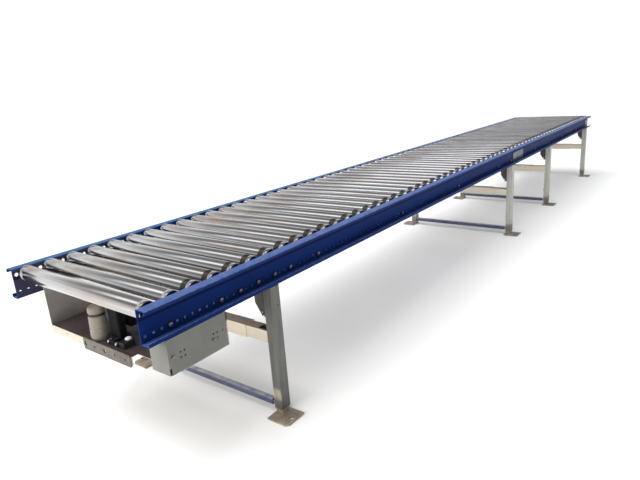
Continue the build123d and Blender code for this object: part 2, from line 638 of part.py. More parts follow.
def guard_belt():
    """Belt between the drive shaft and the take-off shaft, inside the guard."""
    middle = Pos(along((DRIVE_STATION + TAKE_OFF_STATION) / 2), DRIVE_Z)
    span = DRIVE_STATION - TAKE_OFF_STATION
    inside = GUARD_PULLEY_RADIUS + 0.8
    outside = inside + BELT_THICKNESS
    ring = SlotCenterToCenter(span, 2 * outside) - SlotCenterToCenter(span, 2 * inside)
    return plate_xz(middle * ring, GUARD_PULLEY_Y[0] + 3, GUARD_PULLEY_Y[1] - 3)


IDLER_BORE = 6.5
IDLER_PIN_RADIUS = 5.0


def idler(place, radius):
    return flanged_pulley(along(place[0]), place[1], radius, IDLER_BORE, BELT_Y - PULLEY_HALF, BELT_Y + PULLEY_HALF)


def idler_pin(place, seat):
    """Fixed pin that carries an idler, with collars each side of it; seat is the face it starts from."""
    x, z = along(place[0]), place[1]
    pin = round_y(IDLER_PIN_RADIUS, x, z, seat, BELT_Y + PULLEY_HALF + 5)
    pin += round_y(8, x, z, seat, BELT_Y - PULLEY_HALF - 0.8)
    pin += round_y(8, x, z, BELT_Y + PULLEY_HALF + 0.8, BELT_Y + PULLEY_HALF + 5)
    return pin


GUIDE_WIDTH = 16.0
GUIDE_ENDS = (300.0, TAIL_STATION - 45)


def belt_guides():
    """Low-friction bars on the tie rods that carry the belt's top run."""
    z = (BOLT_Z + TIE_RADIUS, TOP_RUN_BOTTOM - 0.4)
    y = (BELT_Y - GUIDE_WIDTH / 2, BELT_Y + GUIDE_WIDTH / 2)
    spans = ((GUIDE_ENDS[0], NEAR_SECTION - 1), (NEAR_SECTION + 1, GUIDE_ENDS[1]))
    return [block((along(low), along(high)), y, z) for low, high in spans]


# -------------------------------------------------------------------------- guard
GUARD_Z = (GUARD_BOTTOM, RAIL_BOTTOM)
COVER_SHEET = 2.0


def guard_outline(inset):
    """L-shaped plan of the guard: deeper at its nose, then as wide as the rail."""
    start, nose, end = (along(s) for s in (GUARD_STATIONS[0], GUARD_NOSE_END, GUARD_STATIONS[1]))
    front = GUARD_FACE + COVER_SHEET
    deep = GUARD_FACE + GUARD_DEPTH - inset
    shallow = -HALF_INNER - 1 - inset
    points = [(start + inset, front), (end - inset, front), (end - inset, shallow),
              (nose - inset, shallow), (nose - inset, deep), (start + inset, deep)]
    return make_face(Polyline(*points, close=True))


def guard_box():
    """Folded sheet box under the right rail, open at its outer side and top."""
    low, high = GUARD_Z
    shell = Pos(0, 0, low) * extrude(guard_outline(0), amount=high - low)
    shell -= Pos(0, 0, low + GUARD_SHEET) * extrude(guard_outline(GUARD_SHEET), amount=high - low)
    for station in (DRIVE_STATION, TAKE_OFF_STATION):
        shell -= round_y(SHAFT_HOLE_RADIUS, along(station), DRIVE_Z, -HALF_INNER - 6, -HALF_INNER + 1)
    return shell


COVER_SCREWS = ((59.0, 390.0), (DRIVE_STATION - 8, DRIVE_Z - 8))
COVER_HOLE = (229.0, 392.0)
CLUSTERS = ((TAKE_OFF_STATION, DRIVE_Z), (DRIVE_STATION, DRIVE_Z))
CLUSTER_X, CLUSTER_Z = 6.5, 7.5
CLUSTER_RADIUS = 2.7


def guard_cover():
    """Side cover of the guard with a group of holes at each shaft."""
    width = GUARD_STATIONS[1] - GUARD_STATIONS[0]
    middle = Pos(along(sum(GUARD_STATIONS) / 2), sum(GUARD_Z) / 2)
    outline = middle * Rectangle(width, GUARD_HEIGHT)
    places = [(s + i * CLUSTER_X, z + j * CLUSTER_Z) for s, z in CLUSTERS for i in SIDES for j in SIDES]
    places.remove((DRIVE_STATION - CLUSTER_X, DRIVE_Z - CLUSTER_Z))     # a screw takes this hole's place
    outline -= [Pos(along(s), z) * Circle(CLUSTER_RADIUS) for s, z in places]
    outline -= [Pos(along(COVER_HOLE[0]), COVER_HOLE[1]) * Circle(2.2)]
    outline -= [Pos(along(s), z) * Circle(2.6) for s, z in COVER_SCREWS]
    notch = Pos(along(GUARD_STATIONS[0] + 3), GUARD_Z[0] + 10) * Rectangle(6, 20)
    return plate_xz(outline - notch, GUARD_FACE, GUARD_FACE + COVER_SHEET)


def guard_screw(station, z):
    x = along(station)
    head = hexagon_y(x, z, GUARD_FACE - 3.5, GUARD_FACE, 4)
    return head + round_y(2.5, x, z, GUARD_FACE, GUARD_FACE + 8)


def guard_grommet():
    """Black half-ring grommet at the far end of the guard."""
    x, z = along(GUARD_STATIONS[1]), RAIL_BOTTOM - 18
    ring = plate_xz(Pos(x, z) * (Ellipse(9.5, 17) - Ellipse(4.5, 11)), GUARD_FACE + 4, GUARD_FACE + 16)
    return ring - block((x - 20, x), (GUARD_FACE, GUARD_FACE + 20), (z - 20, z + 20))


# -------------------------------------------------------------------------- write
def main():
    os.makedirs("parts", exist_ok=True)

    for name, start, end in (("near", 0, NEAR_SECTION), ("far", NEAR_SECTION, LENGTH)):
        right = rail(start, end)
        save(f"right_rail_{name}", right)
        save(f"left_rail_{name}", mirrored(right, 1))

    joint = splice_plate(NEAR_SECTION - SPLICE_HALF_LENGTH, NEAR_SECTION + SPLICE_HALF_LENGTH)
    tail = splice_plate(LENGTH - SPLICE_HALF_LENGTH, LENGTH)
    save("splice_plates", *[mirrored(p, side) for p in (joint, tail) for side in SIDES])
    save("tie_rods", *[tie_rod(s) for s in TIE_STATIONS])
    bolts = splice_bolts() + tie_bolts() + tray_bolts()
    for station in LEG_STATIONS:
        bolts += stand_bolts(station)
    save("frame_bolts", *[mirrored(b, side) for b in bolts for side in SIDES])

    save("legs", *[mirrored(leg(s), side) for s in LEG_STATIONS for side in SIDES])
    save("feet", *[mirrored(foot(s), side) for s in LEG_STATIONS for side in SIDES])
    save("leg_brackets", *[mirrored(bracket(s), side) for s in LEG_STATIONS for side in SIDES])
    save("beam_sleeves", *[beam_sleeve(s) for s in LEG_STATIONS])
    save("beam_inners", *[beam_inner(s) for s in LEG_STATIONS])
    save("lower_crossbars", *[crossbar(s) for s in CROSSBAR_STATIONS])

    for index in range(JOINTED_ROLLERS):
        save(f"roller_{index + 1:02d}", tube(index), cap(index, -1), cap(index, 1))
    rest = range(JOINTED_ROLLERS, ROLLER_COUNT)
    save("far_roller_tubes", *[tube(i) for i in rest])
    save("far_roller_caps", *[cap(i, side) for i in rest for side in SIDES])
    save("roller_axles", *[roller_axle(i) for i in range(ROLLER_COUNT)])

    save("drive_tray", drive_tray())
    save("hole_plate", hole_plate())
    save("motor_housing", motor_housing())
    save("motor_collar", motor_collar())
    save("gear_head", gear_head())
    save("gear_base", gear_base())
    save("bevel_gear_case", bevel_box())
    save("pipe_clamps", *pipe_clamps())
    save("junction_block", junction_block())
    save("junction_cap", junction_cap())

    save("drive_shaft", drive_shaft())
    save("belt_pulley", belt_pulley())
    save("guard_drive_pulley", guard_pulley(DRIVE_STATION))
    save("take_off_pulley", take_off_pulley())
    save("shaft_bearings",
         flange_bearing(DRIVE_STATION, -HALF_INNER + TRAY_SHEET, -HALF_INNER + TRAY_SHEET + 14),
         flange_bearing(TAKE_OFF_STATION, -HALF_INNER + TRAY_SHEET, -HALF_INNER + TRAY_SHEET + 14))
    save("guard_belt", guard_belt())
    save("roller_belt", roller_belt())
    save("upper_snub_pulley", idler(UPPER_SNUB, SNUB_RADIUS))
    save("lower_snub_pulley", idler(LOWER_SNUB, SNUB_RADIUS))
    save("tail_pulley", idler((TAIL_STATION, TAIL_Z), TAIL_RADIUS))
    inner = -HALF_INNER
    save("idler_pins",
         idler_pin(UPPER_SNUB, inner + TRAY_SHEET),
         idler_pin(LOWER_SNUB, inner + TRAY_SHEET),
         idler_pin((TAIL_STATION, TAIL_Z), inner + BRACKET_SHEET))
    save("belt_guides", *belt_guides())

    save("guard_box", guard_box())
    save("guard_cover", guard_cover())
    save("guard_screws", *[guard_screw(*place) for place in COVER_SCREWS])
    save("guard_grommet", guard_grommet())


main()
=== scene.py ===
"""Looks of the belt-driven roller conveyor: finer meshes, materials, floor, light and camera."""

import json
import math

import bmesh
import bpy
from mathutils import Euler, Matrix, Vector


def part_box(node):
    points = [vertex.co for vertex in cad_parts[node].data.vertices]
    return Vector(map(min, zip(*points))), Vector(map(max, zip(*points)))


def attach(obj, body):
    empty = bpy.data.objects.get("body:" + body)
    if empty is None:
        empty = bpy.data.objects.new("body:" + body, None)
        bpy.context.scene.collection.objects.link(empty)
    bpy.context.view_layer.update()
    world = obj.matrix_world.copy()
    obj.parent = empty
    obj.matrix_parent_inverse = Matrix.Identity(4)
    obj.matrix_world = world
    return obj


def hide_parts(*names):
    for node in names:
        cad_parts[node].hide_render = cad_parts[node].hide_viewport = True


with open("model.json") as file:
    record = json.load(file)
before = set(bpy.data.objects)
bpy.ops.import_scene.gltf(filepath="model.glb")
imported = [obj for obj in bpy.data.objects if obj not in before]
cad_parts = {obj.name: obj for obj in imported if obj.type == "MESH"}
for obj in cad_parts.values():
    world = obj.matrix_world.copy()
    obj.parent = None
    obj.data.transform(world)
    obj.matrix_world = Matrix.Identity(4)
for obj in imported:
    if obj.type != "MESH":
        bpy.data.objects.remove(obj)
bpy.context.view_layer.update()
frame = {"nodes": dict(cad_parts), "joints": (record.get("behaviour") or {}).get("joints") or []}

MM = 0.001


# ------------------------------------------------------------------ sizes from the frame
def node_box(node):
    """A node's (low, high) along X, Y and Z."""
    low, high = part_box(node)
    return [(low[axis], high[axis]) for axis in range(3)]


def joint_place(name):
    """A joint's X and Z."""
    joint = next(j for j in frame["joints"] if j["name"] == name)
    return joint["pos_m"][0], joint["pos_m"][2]


RIGHT_RAIL_X, RIGHT_RAIL_Y, RAIL_Z = node_box("right_rail_near")
BED_START, BED_END = RIGHT_RAIL_X[0], node_box("right_rail_far")[0][1]
HALF_OUTER, HALF_INNER = -RIGHT_RAIL_Y[0], -RIGHT_RAIL_Y[1]
ROLLER_NODES = sorted(n for n in frame["nodes"] if n.startswith("roller_") and n[7:].isdigit())
FIRST_ROLLER_X, AXLE_Z = joint_place(ROLLER_NODES[0] + "_spin")
ROLLER_PITCH = joint_place(ROLLER_NODES[1] + "_spin")[0] - FIRST_ROLLER_X
ROLLER_COUNT = round((BED_END - BED_START) / ROLLER_PITCH)
HOLE_PITCH = ROLLER_PITCH / 3
ROLLER_BOX = node_box(ROLLER_NODES[0])
ROLLER_RADIUS = (ROLLER_BOX[0][1] - ROLLER_BOX[0][0]) / 2
HUB_REACH = 2.5 * MM
TUBE_Y = (ROLLER_BOX[1][0] + HUB_REACH, ROLLER_BOX[1][1] - HUB_REACH)
MARK_WIDTH = 22 * MM            # of the dark band that the wandering belt leaves on a roller
MARK_Y = sum(node_box("roller_belt")[1]) / 2 - 3 * MM
FREE_ROLLERS = 2                # the first rollers, which the belt doesn't reach


# -------------------------------------------------------------------------- node helpers
class Shader:
    """A material's node tree with short calls for the nodes used here."""

    def __init__(self, name, metallic=0.0, roughness=0.5):
        self.material = bpy.data.materials.new(name)
        self.material.use_nodes = True
        self.tree = self.material.node_tree
        self.surface = self.tree.nodes["Principled BSDF"]
        self.set("Metallic", metallic)
        self.set("Roughness", roughness)
        self.place = self.add("ShaderNodeTexCoord").outputs["Object"]

    def add(self, kind, **settings):
        """A new node of this kind."""
        node = self.tree.nodes.new(kind)
        for key, setting in settings.items():
            setattr(node, key, setting)
        return node

    def feed(self, socket, value):
        """Give a socket a value, or link it where the value is another node's socket."""
        if isinstance(value, bpy.types.NodeSocket):
            self.tree.links.new(value, socket)
        elif isinstance(value, tuple) and len(value) == 3 and socket.type == "RGBA":
            socket.default_value = (*value, 1.0)
        else:
            socket.default_value = value

    def set(self, socket, value):
        """Give one of the surface shader's sockets a value or a link."""
        self.feed(self.surface.inputs[socket], value)

    def noise(self, scale, detail=3.0, stretch=(1, 1, 1), rough=0.55, offset=(0, 0, 0)):
        """Noise from 0 to 1; stretch scales the axes before the noise is taken."""
        mapping = self.add("ShaderNodeMapping")
        self.feed(mapping.inputs["Vector"], self.place)
        mapping.inputs["Scale"].default_value = stretch
        mapping.inputs["Location"].default_value = offset
        node = self.add("ShaderNodeTexNoise")
        self.feed(node.inputs["Vector"], mapping.outputs["Vector"])
        self.feed(node.inputs["Scale"], scale)
        self.feed(node.inputs["Detail"], detail)
        self.feed(node.inputs["Roughness"], rough)
        return node.outputs["Fac"]

    def cells(self, scale):
        """A random grey for each crystal-like cell."""
        node = self.add("ShaderNodeTexVoronoi")
        self.feed(node.inputs["Vector"], self.place)
        self.feed(node.inputs["Scale"], scale)
        grey = self.add("ShaderNodeRGBToBW")
        self.feed(grey.inputs[0], node.outputs["Color"])
        return grey.outputs[0]

    def span(self, value, low, high, to_low=0.0, to_high=1.0):
        """value taken from low..high to to_low..to_high, clamped."""
        node = self.add("ShaderNodeMapRange")
        for socket, given in zip(("Value", "From Min", "From Max", "To Min", "To Max"),
                                 (value, low, high, to_low, to_high)):
            self.feed(node.inputs[socket], given)
        return node.outputs["Result"]

    def math(self, operation, first, second=0.0):
        """One arithmetic operation on one or two values."""
        node = self.add("ShaderNodeMath", operation=operation)
        self.feed(node.inputs[0], first)
        self.feed(node.inputs[1], second)
        return node.outputs[0]

    def mix(self, factor, first, second):
        """A colour between first and second."""
        node = self.add("ShaderNodeMix", data_type="RGBA")
        self.feed(node.inputs["Factor"], factor)
        self.feed(node.inputs[6], first)
        self.feed(node.inputs[7], second)
        return node.outputs[2]

    def axis(self, name):
        """The surface point's X, Y or Z in metres."""
        node = self.add("ShaderNodeSeparateXYZ")
        self.feed(node.inputs[0], self.place)
        return node.outputs[name]

    def near(self, axis, centre, half, soft):
        """1 where the coordinate is within half of centre, falling to 0 over soft."""
        away = self.math("ABSOLUTE", self.math("SUBTRACT", self.axis(axis), centre))
        return self.span(away, half, half + soft, 1.0, 0.0)

    def facing(self, axis, limit):
        """The part of the surface that faces along an axis: 0 across it, 1 where the normal reaches limit."""
        node = self.add("ShaderNodeSeparateXYZ")
        self.feed(node.inputs[0], self.add("ShaderNodeNewGeometry").outputs["Normal"])
        return self.span(node.outputs[axis], 0.0, limit)

    def upward(self):
        """The part of the surface that faces up, from 0 to 1."""
        return self.facing("Z", 1.0)

    def bump(self, height, distance, strength=1.0):
        """Make the surface look uneven: a height of 1 stands for distance, in metres."""
        node = self.add("ShaderNodeBump")
        node.inputs["Strength"].default_value = strength
        node.inputs["Distance"].default_value = distance
        self.feed(node.inputs["Height"], height)
        self.set("Normal", node.outputs["Normal"])


# ----------------------------------------------------------------------------- materials
def blue_paint():
    """Royal blue paint: dusty and with a painted sheen on top, a painted highlight and wear along the top's
    outer edges, a painted shadow under the lip, dirt and painted shade at the drive end.
    """
    s = Shader("rail_blue")
    wear = s.noise(55, 6, rough=0.75)
    cloud = s.noise(7, 3, stretch=(0.35, 1, 1))
    colour = s.mix(s.span(cloud, 0.3, 0.75), (0.0025, 0.017, 0.110), (0.005, 0.032, 0.175))
    # Dirt and painted shade: the left rail's inner face turns dark purple-grey near the drive end.
    inner_face = s.near("Y", HALF_INNER, 0.5 * MM, 0.5 * MM)
    dirt_and_shade = s.math("MULTIPLY", inner_face, s.near("X", BED_START, 0.20, 0.35))
    dirt_and_shade = s.math("MULTIPLY", dirt_and_shade, s.span(cloud, 0.3, 0.6, 0.55, 0.9))
    colour = s.mix(dirt_and_shade, colour, (0.060, 0.055, 0.068))
    # Top faces turn a lighter blue, teal on the left rail: a painted sheen, with some dust.
    left = s.span(s.axis("Y"), -0.1, 0.1)
    dust = s.mix(left, (0.17, 0.25, 0.50), (0.10, 0.24, 0.38))
    sheen_and_dust_share = s.math("MULTIPLY", s.upward(), s.span(s.noise(26, 5, rough=0.7), 0.3, 0.7, 0.22, 0.48))
    colour = s.mix(sheen_and_dust_share, colour, dust)
    # A painted shadow: a dark line on the web just below the top lip.
    on_web = s.span(s.math("ABSOLUTE", s.axis("Y")), HALF_INNER + 3.2 * MM, HALF_INNER + 3.8 * MM, 1.0, 0.0)
    lip_shadow = s.math("MULTIPLY", on_web, s.near("Z", RAIL_Z[1] - 29 * MM, 3 * MM, 4 * MM))
    colour = s.mix(s.math("MULTIPLY", lip_shadow, 0.8), colour, (0.001, 0.004, 0.022))
    # A lighter blue along the outer edge of the top faces: a painted highlight on the bend, broken up by
    # wear.
    rim = s.math("ABSOLUTE", s.math("SUBTRACT", s.math("ABSOLUTE", s.axis("Y")), HALF_OUTER))
    rim = s.math("MULTIPLY", s.span(rim, 1.2 * MM, 2.2 * MM, 1.0, 0.0), s.upward())
    colour = s.mix(s.math("MULTIPLY", rim, s.span(wear, 0.35, 0.6, 0.15, 0.7)), colour, (0.30, 0.38, 0.60))
    chips = s.span(s.noise(140, 4, rough=0.7), 0.72, 0.75)
    colour = s.mix(chips, colour, (0.22, 0.20, 0.19))
    s.set("Base Color", colour)
    s.set("Roughness", s.span(cloud, 0.3, 0.7, 0.34, 0.50))
    s.set("Specular IOR Level", 0.03)
    s.bump(wear, 0.15 * MM, 0.3)
    return s.material


def roller_steel(name, driven):
    """Zinc-plated tube with lengthwise streaks and tan stains, darker near the drive as painted shade and
    brighter further along as painted glare; driven rollers carry the belt's mark.
    """
    s = Shader(name, metallic=1.0)
    streak = s.noise(1.0, 3, stretch=(110, 1.2, 110), rough=0.5)
    stain = s.noise(1.0, 4, stretch=(11, 4.0, 11), rough=0.6, offset=(3, 1, 2))
    # Painted shade and painted glare: the tubes are dark near the drive end and brighten from 0.7 m to 2 m
    # along the bed.
    dull = s.mix(s.span(streak, 0.3, 0.72), (0.42, 0.41, 0.41), (0.58, 0.575, 0.58))
    glare_steel = s.mix(s.span(streak, 0.3, 0.72), (0.58, 0.57, 0.60), (0.86, 0.85, 0.89))
    colour = s.mix(s.span(s.axis("X"), BED_START + 0.7, BED_START + 2.0), dull, glare_steel)
    leftward = s.span(s.axis("Y"), -50 * MM, TUBE_Y[1], 0.35, 0.95)
    stained = s.math("MULTIPLY", leftward, s.span(stain, 0.45, 0.66))
    colour = s.mix(stained, colour, (0.42, 0.33, 0.26))
    rough = s.math("ADD", s.span(streak, 0.25, 0.75, 0.13, 0.20), s.math("MULTIPLY", stained, 0.14))
    if driven:
        ragged = s.math("MULTIPLY", s.span(s.noise(60, 3), 0.3, 0.7, -1.0, 1.0), 1.5 * MM)
        away = s.math("ABSOLUTE", s.math("SUBTRACT", s.axis("Y"), MARK_Y))
        away = s.math("ADD", away, ragged)
        mark = s.span(away, MARK_WIDTH / 2 - 1.5 * MM, MARK_WIDTH / 2 + 1.0 * MM, 1.0, 0.0)
        colour = s.mix(s.math("MULTIPLY", mark, 0.88), colour, (0.045, 0.036, 0.030))
        rough = s.math("ADD", rough, s.math("MULTIPLY", mark, 0.25))
    s.set("Base Color", colour)
    s.set("Roughness", rough)
    s.bump(streak, 0.02 * MM, 0.25)
    return s.material


def worn_metal(name, light, dark, stain, stain_share=0.5, stretch=(1, 1, 1), rough=(0.38, 0.6),
               metallic=0.85, spangle=90, bump=0.08, top=None):
    """Galvanised or bare sheet: spangle, streaks along the less stretched axis and stains."""
    s = Shader(name, metallic=metallic)
    grain = s.cells(spangle)
    streak = s.noise(9, 5, stretch=stretch, rough=0.65)
    colour = s.mix(s.span(streak, 0.3, 0.7), dark, light)
    colour = s.mix(s.math("MULTIPLY", s.span(grain, 0.2, 0.8), 0.14), colour, light)
    patches = s.noise(4.5, 6, stretch=stretch, rough=0.7, offset=(5, 2, 1))
    colour = s.mix(s.span(patches, 0.50, 0.68, 0.0, stain_share), colour, stain)
    if top:
        colour = s.mix(s.math("MULTIPLY", s.upward(), s.span(patches, 0.3, 0.6, 0.6, 0.95)), colour, top)
    s.set("Base Color", colour)
    s.set("Roughness", s.span(grain, 0.1, 0.9, *rough))
    s.bump(s.noise(160, 3), bump * MM, 0.6)
    return s.material


def leg_steel():
    """Galvanised leg, streaked from top to bottom: dull near the drive, dark and then limy low down."""
    s = Shader("leg_galvanised", metallic=0.55)
    streak = s.noise(1.0, 5, stretch=(75, 75, 6), rough=0.7)
    old = s.mix(s.span(streak, 0.3, 0.7), (0.095, 0.105, 0.100), (0.19, 0.19, 0.170))
    fresh = s.mix(s.span(streak, 0.3, 0.7), (0.36, 0.36, 0.32), (0.60, 0.59, 0.53))
    colour = s.mix(s.span(s.axis("X"), BED_START + 0.8, BED_START + 2.4), old, fresh)
    low = s.near("Z", 20 * MM, 40 * MM, 10 * MM)
    colour = s.mix(s.math("MULTIPLY", low, 0.7), colour, (0.11, 0.11, 0.105))
    lime = s.math("MULTIPLY", s.near("Z", 73 * MM, 12 * MM, 12 * MM), s.span(s.noise(30, 4), 0.38, 0.50))
    lime = s.math("MULTIPLY", lime, s.facing("X", -1.0))
    colour = s.mix(s.math("MULTIPLY", lime, 0.75), colour, (0.52, 0.45, 0.33))
    s.set("Base Color", colour)
    s.set("Roughness", s.span(streak, 0.2, 0.8, 0.42, 0.66))
    s.bump(s.noise(120, 4), 0.12 * MM, 0.6)
    return s.material


def tray_steel():
    """Galvanised pan: grey walls, darker towards the bottom, a purple-brown floor darkened by dirt and
    painted shadow, a pale front lip.
    """
    s = Shader("tray_galvanised", metallic=0.6)
    patches = s.noise(7, 5, rough=0.65)
    colour = s.mix(s.span(patches, 0.3, 0.7), (0.30, 0.28, 0.26), (0.46, 0.43, 0.40))
    low = node_box("drive_tray")[2][0]
    # The walls turn darker towards the bottom.
    above_low_wall = s.span(s.axis("Z"), low + 30 * MM, low + 75 * MM)
    low_wall_tone = s.mix(s.span(patches, 0.35, 0.65), (0.26, 0.24, 0.23), (0.40, 0.38, 0.36))
    colour = s.mix(above_low_wall, low_wall_tone, colour)
    # Dirt and painted shadow: the floor of the pan turns dark purple-brown.
    dirt_and_shadow = s.math("MULTIPLY", s.near("Z", low + 27 * MM, 1.2 * MM, 1.5 * MM), s.upward())
    dirt_and_shadow = s.math("MULTIPLY", dirt_and_shadow, s.span(patches, 0.3, 0.6, 0.7, 0.98))
    colour = s.mix(dirt_and_shadow, colour, (0.085, 0.055, 0.058))
    lip = s.near("X", node_box("drive_tray")[0][0], 0.6 * MM, 0.4 * MM)
    colour = s.mix(lip, colour, (0.66, 0.60, 0.50))
    s.set("Base Color", colour)
    s.set("Roughness", s.span(s.cells(90), 0.1, 0.9, 0.40, 0.6))
    s.bump(s.noise(160, 3), 0.08 * MM, 0.6)
    return s.material


def paint(name, light, dark, rough=(0.35, 0.55), dust=(0.3, 0.28, 0.25), dust_share=0.2, scale=12,
          band=None, specular=0.5):
    """Enamel with cloudy tone, dust on top and fine orange peel; band is (z, half height) of a dark ring."""
    s = Shader(name)
    s.set("Specular IOR Level", specular)
    cloud = s.noise(scale, 5, rough=0.65)
    colour = s.mix(s.span(cloud, 0.3, 0.7), dark, light)
    settled = s.math("MULTIPLY", s.upward(), s.span(s.noise(30, 5), 0.3, 0.7, 0.3, 1.0))
    colour = s.mix(s.math("MULTIPLY", settled, dust_share), colour, dust)
    if band:
        colour = s.mix(s.near("Z", *band, 0.2 * MM), colour, (0.020, 0.018, 0.017))
    s.set("Base Color", colour)
    s.set("Roughness", s.span(cloud, 0.25, 0.75, *rough))
    s.bump(s.noise(260, 3), 0.05 * MM, 0.5)
    return s.material


def moulded(name, light, dark, rough=(0.4, 0.6), scale=60):
    """Moulded plastic or rubber with a fine grain."""
    s = Shader(name)
    grain = s.noise(scale, 4, rough=0.6)
    s.set("Base Color", s.mix(s.span(grain, 0.3, 0.7), dark, light))
    s.set("Roughness", s.span(grain, 0.3, 0.7, *rough))
    s.bump(s.noise(500, 2), 0.04 * MM, 0.5)
    return s.material


def floor_material():
    """Pale matt floor with a hardly visible cloud."""
    s = Shader("studio_floor", roughness=0.9)
    s.set("Base Color", s.mix(s.span(s.noise(0.6, 2), 0.3, 0.7), (0.90, 0.90, 0.90), (0.93, 0.93, 0.93)))
    return s.material


COLLAR_BOTTOM = node_box("motor_collar")[2][0]
# colours are linear red, green and blue: light, dark, then stain or dust
MATERIALS = {
    "rail_blue": blue_paint(),
    "roller_steel": roller_steel("roller_steel", driven=True),
    "roller_free": roller_steel("roller_free", driven=False),
    "black_plastic": moulded("black_plastic", (0.022, 0.022, 0.024), (0.010, 0.010, 0.011)),
    "bright_steel": worn_metal("bright_steel", (0.72, 0.71, 0.69), (0.50, 0.49, 0.47), (0.30, 0.24, 0.18),
                               stain_share=0.35, stretch=(6, 1, 6), rough=(0.22, 0.40), metallic=1.0,
                               spangle=300, bump=0.03),
    "splice": worn_metal("splice_galvanised", (0.26, 0.28, 0.34), (0.15, 0.17, 0.22), (0.20, 0.16, 0.14)),
    "tray": tray_steel(),
    "hole_plate": worn_metal("plate_galvanised", (0.21, 0.19, 0.165), (0.12, 0.105, 0.09),
                             (0.09, 0.06, 0.05)),
    "zinc_bolt": worn_metal("zinc_bolt", (0.30, 0.27, 0.22), (0.13, 0.115, 0.10), (0.10, 0.07, 0.05),
                            stain_share=0.6, rough=(0.30, 0.5), metallic=1.0, spangle=500, bump=0.04),
    "leg_galvanised": leg_steel(),
    "beam": worn_metal("beam_galvanised", (0.80, 0.74, 0.60), (0.62, 0.56, 0.45), (0.50, 0.40, 0.28),
                       stain_share=0.35, stretch=(2.2, 0.35, 2.2), rough=(0.45, 0.65), metallic=0.35,
                       top=(0.27, 0.205, 0.175)),
    "foot_galvanised": worn_metal("foot_galvanised", (0.44, 0.37, 0.29), (0.22, 0.175, 0.135),
                                  (0.15, 0.09, 0.06), stain_share=0.6, stretch=(2, 2, 2),
                                  rough=(0.45, 0.7), metallic=0.5),
    # Near black: the brackets' dark paint also stands for the shade they sit in, a painted shade.
    "bracket_dark": paint("bracket_dark", (0.050, 0.040, 0.032), (0.018, 0.015, 0.013), rough=(0.4, 0.65),
                          dust=(0.25, 0.22, 0.18), dust_share=0.35, scale=20),
    "navy_paint": paint("navy_paint", (0.075, 0.095, 0.170), (0.032, 0.042, 0.090), rough=(0.4, 0.6),
                        dust=(0.46, 0.44, 0.48), dust_share=0.92, scale=14),
    "motor_beige": paint("motor_beige", (0.26, 0.23, 0.185), (0.18, 0.158, 0.128), rough=(0.30, 0.45),
                         dust=(0.3, 0.26, 0.20), dust_share=0.3, band=(COLLAR_BOTTOM - 4 * MM, 4 * MM)),
    "gear_black": paint("gear_black", (0.013, 0.013, 0.016), (0.005, 0.005, 0.006), rough=(0.5, 0.7),
                        dust=(0.16, 0.14, 0.12), dust_share=0.12, scale=22, specular=0.1),
    "clamp_bright": worn_metal("clamp_bright", (0.86, 0.86, 0.86), (0.70, 0.70, 0.70), (0.5, 0.45, 0.4),
                               stain_share=0.2, stretch=(1, 4, 1), rough=(0.12, 0.28), metallic=1.0,
                               spangle=300, bump=0.02),
    "white_plastic": moulded("white_plastic", (0.84, 0.84, 0.83), (0.70, 0.70, 0.68), rough=(0.35, 0.5)),
    "bearing_cast": paint("bearing_cast", (0.10, 0.10, 0.10), (0.05, 0.05, 0.05), rough=(0.5, 0.7), scale=40),
    "belt_rubber": moulded("belt_rubber", (0.030, 0.030, 0.030), (0.014, 0.014, 0.014), rough=(0.55, 0.75),
                           scale=120),
    "guide_plastic": moulded("guide_plastic", (0.022, 0.085, 0.045), (0.012, 0.055, 0.028)),
    "guard_paint": paint("guard_paint", (0.195, 0.195, 0.180), (0.130, 0.132, 0.126), rough=(0.38, 0.6),
                         dust=(0.38, 0.34, 0.27), dust_share=0.4, scale=9, specular=0.3),
    "rubber_black": moulded("rubber_black", (0.024, 0.024, 0.024), (0.010, 0.010, 0.010), rough=(0.5, 0.7)),
}


# --------------------------------------------------------------------------- mesh helpers
SMOOTH_ANGLE = math.radians(32)


def make_piece(name, bm, materials, body, replaced):
    """Turn a bmesh into a shaded object that rides on a body and stands for CAD nodes."""
    bmesh.ops.recalc_face_normals(bm, faces=bm.faces)
    mesh = bpy.data.meshes.new(name)
    bm.to_mesh(mesh)
    bm.free()
    for polygon in mesh.polygons:
        polygon.use_smooth = True
    mesh.set_sharp_from_angle(angle=SMOOTH_ANGLE)
    for material in materials:
        mesh.materials.append(MATERIALS[material])
    piece = bpy.data.objects.new(name, mesh)
    bpy.context.scene.collection.objects.link(piece)
    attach(piece, body)
    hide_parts(*replaced)


def arc(centre, radius, start, end, steps):
    """Points on an arc, angles in degrees."""
    for k in range(steps + 1):
        angle = math.radians(start + (end - start) * k / steps)
        yield centre[0] + radius * math.cos(angle), centre[1] + radius * math.sin(angle)


def lathe(bm, outline, x, z, segments=56, material=0):
    """Turn a closed outline of (radius, y) points about the line along Y at (x, z)."""
    rings = []
    for k in range(segments):
        angle = 2 * math.pi * k / segments
        across, up = math.cos(angle), math.sin(angle)
        rings.append([bm.verts.new((x + r * across, y, z + r * up)) for r, y in outline])
    for k in range(segments):
        here, following = rings[k], rings[(k + 1) % segments]
        for j in range(len(outline)):
            i = (j + 1) % len(outline)
            bm.faces.new((here[j], here[i], following[i], following[j])).material_index = material


WELD = 0.005 * MM               # vertices nearer than this are one
FLAT_ANGLE = math.radians(0.8)  # faces within this angle of each other become one
EDGE_ANGLE = math.radians(35)   # edges blunter than this aren't rounded
SHORTEST_ROUNDED = 4.0          # an edge shorter than this many widths stays sharp


